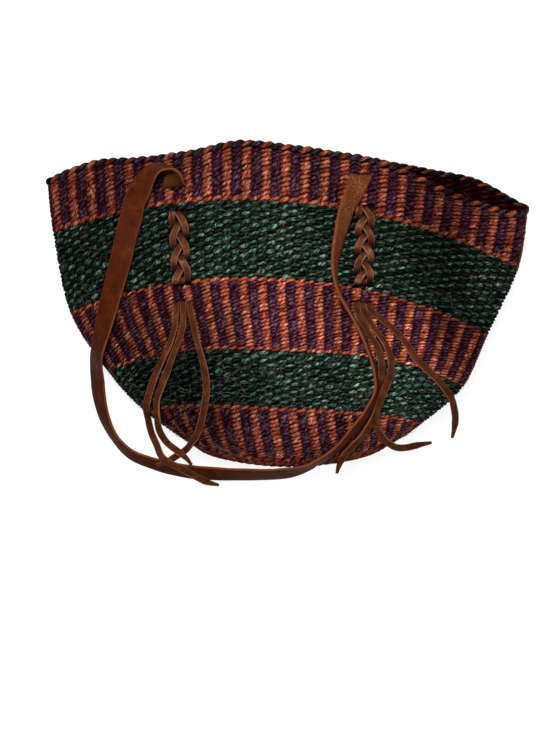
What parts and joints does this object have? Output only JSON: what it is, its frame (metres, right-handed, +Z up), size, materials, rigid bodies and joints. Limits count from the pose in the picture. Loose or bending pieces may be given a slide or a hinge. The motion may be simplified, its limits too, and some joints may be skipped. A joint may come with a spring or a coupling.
{
  "type": "kiondo basket",
  "caption": "Soft twined sisal shoulder bag with striped and green bands, a rolled rim and leather strap handles whose ends are plaited through the weave.",
  "frame": {"origin": "On the ground, under the middle of the bag's box without its loose leather tails, with the bag lying on its back.", "axes": "+X runs along the mouth to the right corner, +Y from the base to the mouth, +Z up from the ground through the back and the front of the bag."},
  "size_m": [0.4326, 0.313, 0.0882],
  "materials": {
    "striped_sisal": "matt twined sisal yarn in brick orange and dark violet stripes",
    "green_sisal": "matt twined sisal yarn in grey green and near black",
    "brick_sisal": "matt twined sisal yarn in brick orange",
    "violet_sisal": "matt rolled sisal yarn in dark violet and brick orange",
    "brown_leather": "worn vegetable tanned leather, dark brown",
    "tan_leather": "worn vegetable tanned leather with pale cut edges"
  },
  "bodies": {
    "bag": {"rim_edging": "violet_sisal", "top_striped_band": "striped_sisal", "upper_green_band": "green_sisal", "middle_striped_band": "striped_sisal", "lower_green_band": "green_sisal", "bottom_striped_band": "striped_sisal", "woven_base": "brick_sisal", "front_left_strap_bend": "brown_leather", "front_right_strap_bend": "brown_leather", "back_left_strap_bend": "brown_leather", "back_right_strap_bend": "brown_leather", "front_left_strap_tongue": "tan_leather", "front_right_strap_tongue": "tan_leather", "back_left_strap_tongue": "tan_leather", "back_right_strap_tongue": "tan_leather", "front_left_plait_thong_1": "tan_leather", "front_left_plait_thong_2": "tan_leather", "front_left_plait_thong_3": "tan_leather", "front_right_plait_thong_1": "tan_leather", "front_right_plait_thong_2": "tan_leather", "front_right_plait_thong_3": "tan_leather", "back_left_plait_thong_1": "tan_leather", "back_left_plait_thong_2": "tan_leather", "back_left_plait_thong_3": "tan_leather", "back_right_plait_thong_1": "tan_leather", "back_right_plait_thong_2": "tan_leather", "back_right_plait_thong_3": "tan_leather", "front_left_tail_1": "tan_leather", "front_left_tail_2": "tan_leather", "front_left_tail_3": "tan_leather", "front_right_tail_1": "tan_leather", "front_right_tail_2": "tan_leather", "front_right_tail_3": "tan_leather", "back_left_tail_1": "tan_leather", "back_left_tail_2": "tan_leather", "back_left_tail_3": "tan_leather", "back_right_tail_1": "tan_leather", "back_right_tail_2": "tan_leather", "back_right_tail_3": "tan_leather"},
    "front_handle": {"front_strap": "brown_leather"},
    "back_handle": {"back_strap": "brown_leather"}
  },
  "joints": [
    {"name": "front_handle_swing", "type": "hinge", "parent": "bag", "child": "front_handle", "pos_m": [0, 0.122, 0.046], "axis": [-1, 0, 0], "range_deg": [0, 165], "deforming": ["front_left_strap_bend", "front_right_strap_bend", "front_left_tail_1", "front_left_tail_2", "front_left_tail_3"]},
    {"name": "back_handle_swing", "type": "hinge", "parent": "bag", "child": "back_handle", "pos_m": [-0.017, 0.114, 0.008], "axis": [0.9976, 0.0698, 0], "range_deg": [0, 150], "deforming": ["back_left_strap_bend", "back_right_strap_bend"]}
  ]
}
